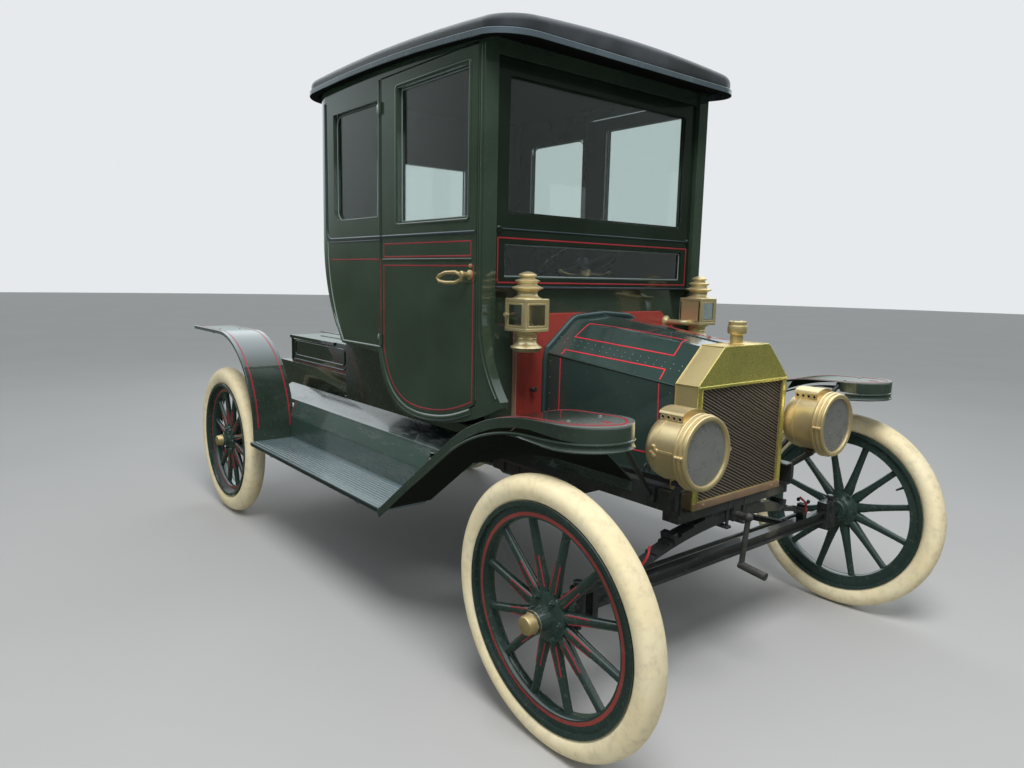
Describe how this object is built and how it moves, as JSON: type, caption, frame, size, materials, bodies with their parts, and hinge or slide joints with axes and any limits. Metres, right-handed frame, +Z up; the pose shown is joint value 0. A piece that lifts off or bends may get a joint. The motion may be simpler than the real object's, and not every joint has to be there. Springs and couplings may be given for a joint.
{
  "type": "brass-era two-seat coupe motor car",
  "caption": "Small brass-era closed two-seat coupe with artillery wheels, brass radiator and lamps, opening doors, hood and rear deck lid.",
  "frame": {"origin": "centre of the bounding box at ground level", "axes": "+X forward, +Y to the car's left, +Z up"},
  "size_m": [3.375, 1.7388, 2.128],
  "materials": {
    "tyre_rubber": "smooth, warm cream",
    "wheel_wood": "dark green gloss paint",
    "chassis_black": "black gloss paint",
    "cast_iron": "plain",
    "brass": "polished",
    "core_fins": "matt black fins",
    "hood_paint": "dark green-black gloss",
    "firewall_wood": "brick-red varnish",
    "body_paint": "dark green-black gloss",
    "frame_wood": "black gloss paint",
    "glass": "clear",
    "roof_cloth": "dark coated cloth",
    "drip_paint": "light green satin",
    "fender_paint": "dark gloss paint",
    "board_paint": "green satin paint",
    "seat_wood": "plain",
    "seat_leather": "black, soft",
    "steering_wood": "dark varnish"
  },
  "bodies": {
    "chassis": {"cab_back": "body_paint", "cab_front": "body_paint", "cab_glass": "glass", "cab_side_left": "body_paint", "cab_side_right": "body_paint", "deck_box": "body_paint", "engine": "cast_iron", "engine_pan": "cast_iron", "exhaust": "cast_iron", "fender_irons": "chassis_black", "firewall": "firewall_wood", "foot_pedals": "chassis_black", "frame_crossmembers": "chassis_black", "frame_rails": "chassis_black", "front_axle": "chassis_black", "front_fenders": "fender_paint", "headlamp_brackets": "chassis_black", "headlamp_glass": "glass", "headlamps": "brass", "hood_hinge_rod": "chassis_black", "leaf_springs": "chassis_black", "lower_body": "body_paint", "radiator_core": "core_fins", "radiator_shell": "brass", "radius_rods": "chassis_black", "rear_axle": "chassis_black", "rear_fenders": "fender_paint", "roof": "roof_cloth", "roof_drip": "drip_paint", "running_board_irons": "chassis_black", "running_boards": "board_paint", "seat_box": "seat_wood", "seat_cushions": "seat_leather", "side_lamps": "brass", "splash_aprons": "board_paint", "starting_crank": "cast_iron", "steering_column": "chassis_black", "windshield_frame": "frame_wood", "windshield_glass": "glass"},
    "knuckle_left": {"front_knuckle_left": "chassis_black"},
    "knuckle_right": {"front_knuckle_right": "chassis_black"},
    "wheel_front_left": {"front_wheel_left": "wheel_wood", "front_tyre_left": "tyre_rubber"},
    "wheel_front_right": {"front_wheel_right": "wheel_wood", "front_tyre_right": "tyre_rubber"},
    "wheel_rear_left": {"rear_wheel_left": "wheel_wood", "rear_tyre_left": "tyre_rubber"},
    "wheel_rear_right": {"rear_wheel_right": "wheel_wood", "rear_tyre_right": "tyre_rubber"},
    "tie_rod": {"tie_rod": "chassis_black"},
    "hood_top_left": {"hood_top_left": "hood_paint"},
    "hood_top_right": {"hood_top_right": "hood_paint"},
    "hood_side_left": {"hood_side_left": "hood_paint"},
    "hood_side_right": {"hood_side_right": "hood_paint"},
    "door_left": {"door_left": "body_paint", "door_glass_left": "glass"},
    "door_right": {"door_right": "body_paint", "door_glass_right": "glass"},
    "deck_lid": {"deck_lid": "body_paint"},
    "steering_wheel": {"steering_wheel": "steering_wood"}
  },
  "joints": [
    {"name": "steer_left", "type": "hinge", "parent": "chassis", "child": "knuckle_left", "pos_m": [1.3065, 0.684, 0.38], "axis": [0, 0, 1], "range_deg": [-28, 28]},
    {"name": "spin_front_left", "type": "hinge", "parent": "knuckle_left", "child": "wheel_front_left", "pos_m": [1.3065, 0.7825, 0.3805], "axis": [0, 0.9986, -0.0537], "continuous": true},
    {"name": "spin_rear_left", "type": "hinge", "parent": "chassis", "child": "wheel_rear_left", "pos_m": [-1.2335, 0.762, 0.381], "axis": [0, 1, 0], "continuous": true},
    {"name": "steer_right", "type": "hinge", "parent": "chassis", "child": "knuckle_right", "pos_m": [1.3065, -0.684, 0.38], "axis": [0, 0, 1], "range_deg": [-28, 28]},
    {"name": "spin_front_right", "type": "hinge", "parent": "knuckle_right", "child": "wheel_front_right", "pos_m": [1.3065, -0.7825, 0.3805], "axis": [0, 0.9986, 0.0537], "continuous": true},
    {"name": "spin_rear_right", "type": "hinge", "parent": "chassis", "child": "wheel_rear_right", "pos_m": [-1.2335, -0.762, 0.381], "axis": [0, 1, 0], "continuous": true},
    {"name": "tie_rod_pivot", "type": "hinge", "parent": "knuckle_left", "child": "tie_rod", "pos_m": [1.1885, 0.684, 0.346], "axis": [0, 0, 1], "range_deg": [-28, 28]},
    {"name": "hood_left", "type": "hinge", "parent": "chassis", "child": "hood_top_left", "pos_m": [1.246, 0, 1.063], "axis": [0.9932, 0, -0.1166], "range_deg": [0, 45]},
    {"name": "hood_fold_left", "type": "hinge", "parent": "hood_top_left", "child": "hood_side_left", "pos_m": [1.246, 0.234, 0.944], "axis": [0.9907, -0.0905, -0.1016], "range_deg": [-41, 0]},
    {"name": "door_left", "type": "hinge", "parent": "chassis", "child": "door_left", "pos_m": [0.042, 0.581, 1.4], "axis": [0, 0, 1], "range_deg": [0, 80]},
    {"name": "hood_right", "type": "hinge", "parent": "chassis", "child": "hood_top_right", "pos_m": [1.246, 0, 1.063], "axis": [-0.9932, 0, 0.1166], "range_deg": [0, 45]},
    {"name": "hood_fold_right", "type": "hinge", "parent": "hood_top_right", "child": "hood_side_right", "pos_m": [1.246, -0.234, 0.944], "axis": [-0.9907, -0.0905, 0.1016], "range_deg": [-41, 0]},
    {"name": "door_right", "type": "hinge", "parent": "chassis", "child": "door_right", "pos_m": [0.042, -0.581, 1.4], "axis": [0, 0, -1], "range_deg": [0, 80]},
    {"name": "deck_lid_hinge", "type": "hinge", "parent": "chassis", "child": "deck_lid", "pos_m": [-0.612, 0, 0.938], "axis": [0, 1, 0], "range_deg": [0, 60]},
    {"name": "steering_wheel_turn", "type": "hinge", "parent": "chassis", "child": "steering_wheel", "pos_m": [0.2865, 0.29, 1.335], "axis": [-0.4812, 0, 0.8766], "range_deg": [-112, 112]}
  ],
  "couplings": [
    {"joint": "steer_right", "follows": "steer_left", "ratio": 1},
    {"joint": "tie_rod_pivot", "follows": "steer_left", "ratio": -1},
    {"joint": "steering_wheel_turn", "follows": "steer_left", "ratio": 4},
    {"joint": "hood_fold_left", "follows": "hood_left", "ratio": -0.9},
    {"joint": "hood_fold_right", "follows": "hood_right", "ratio": -0.9}
  ]
}
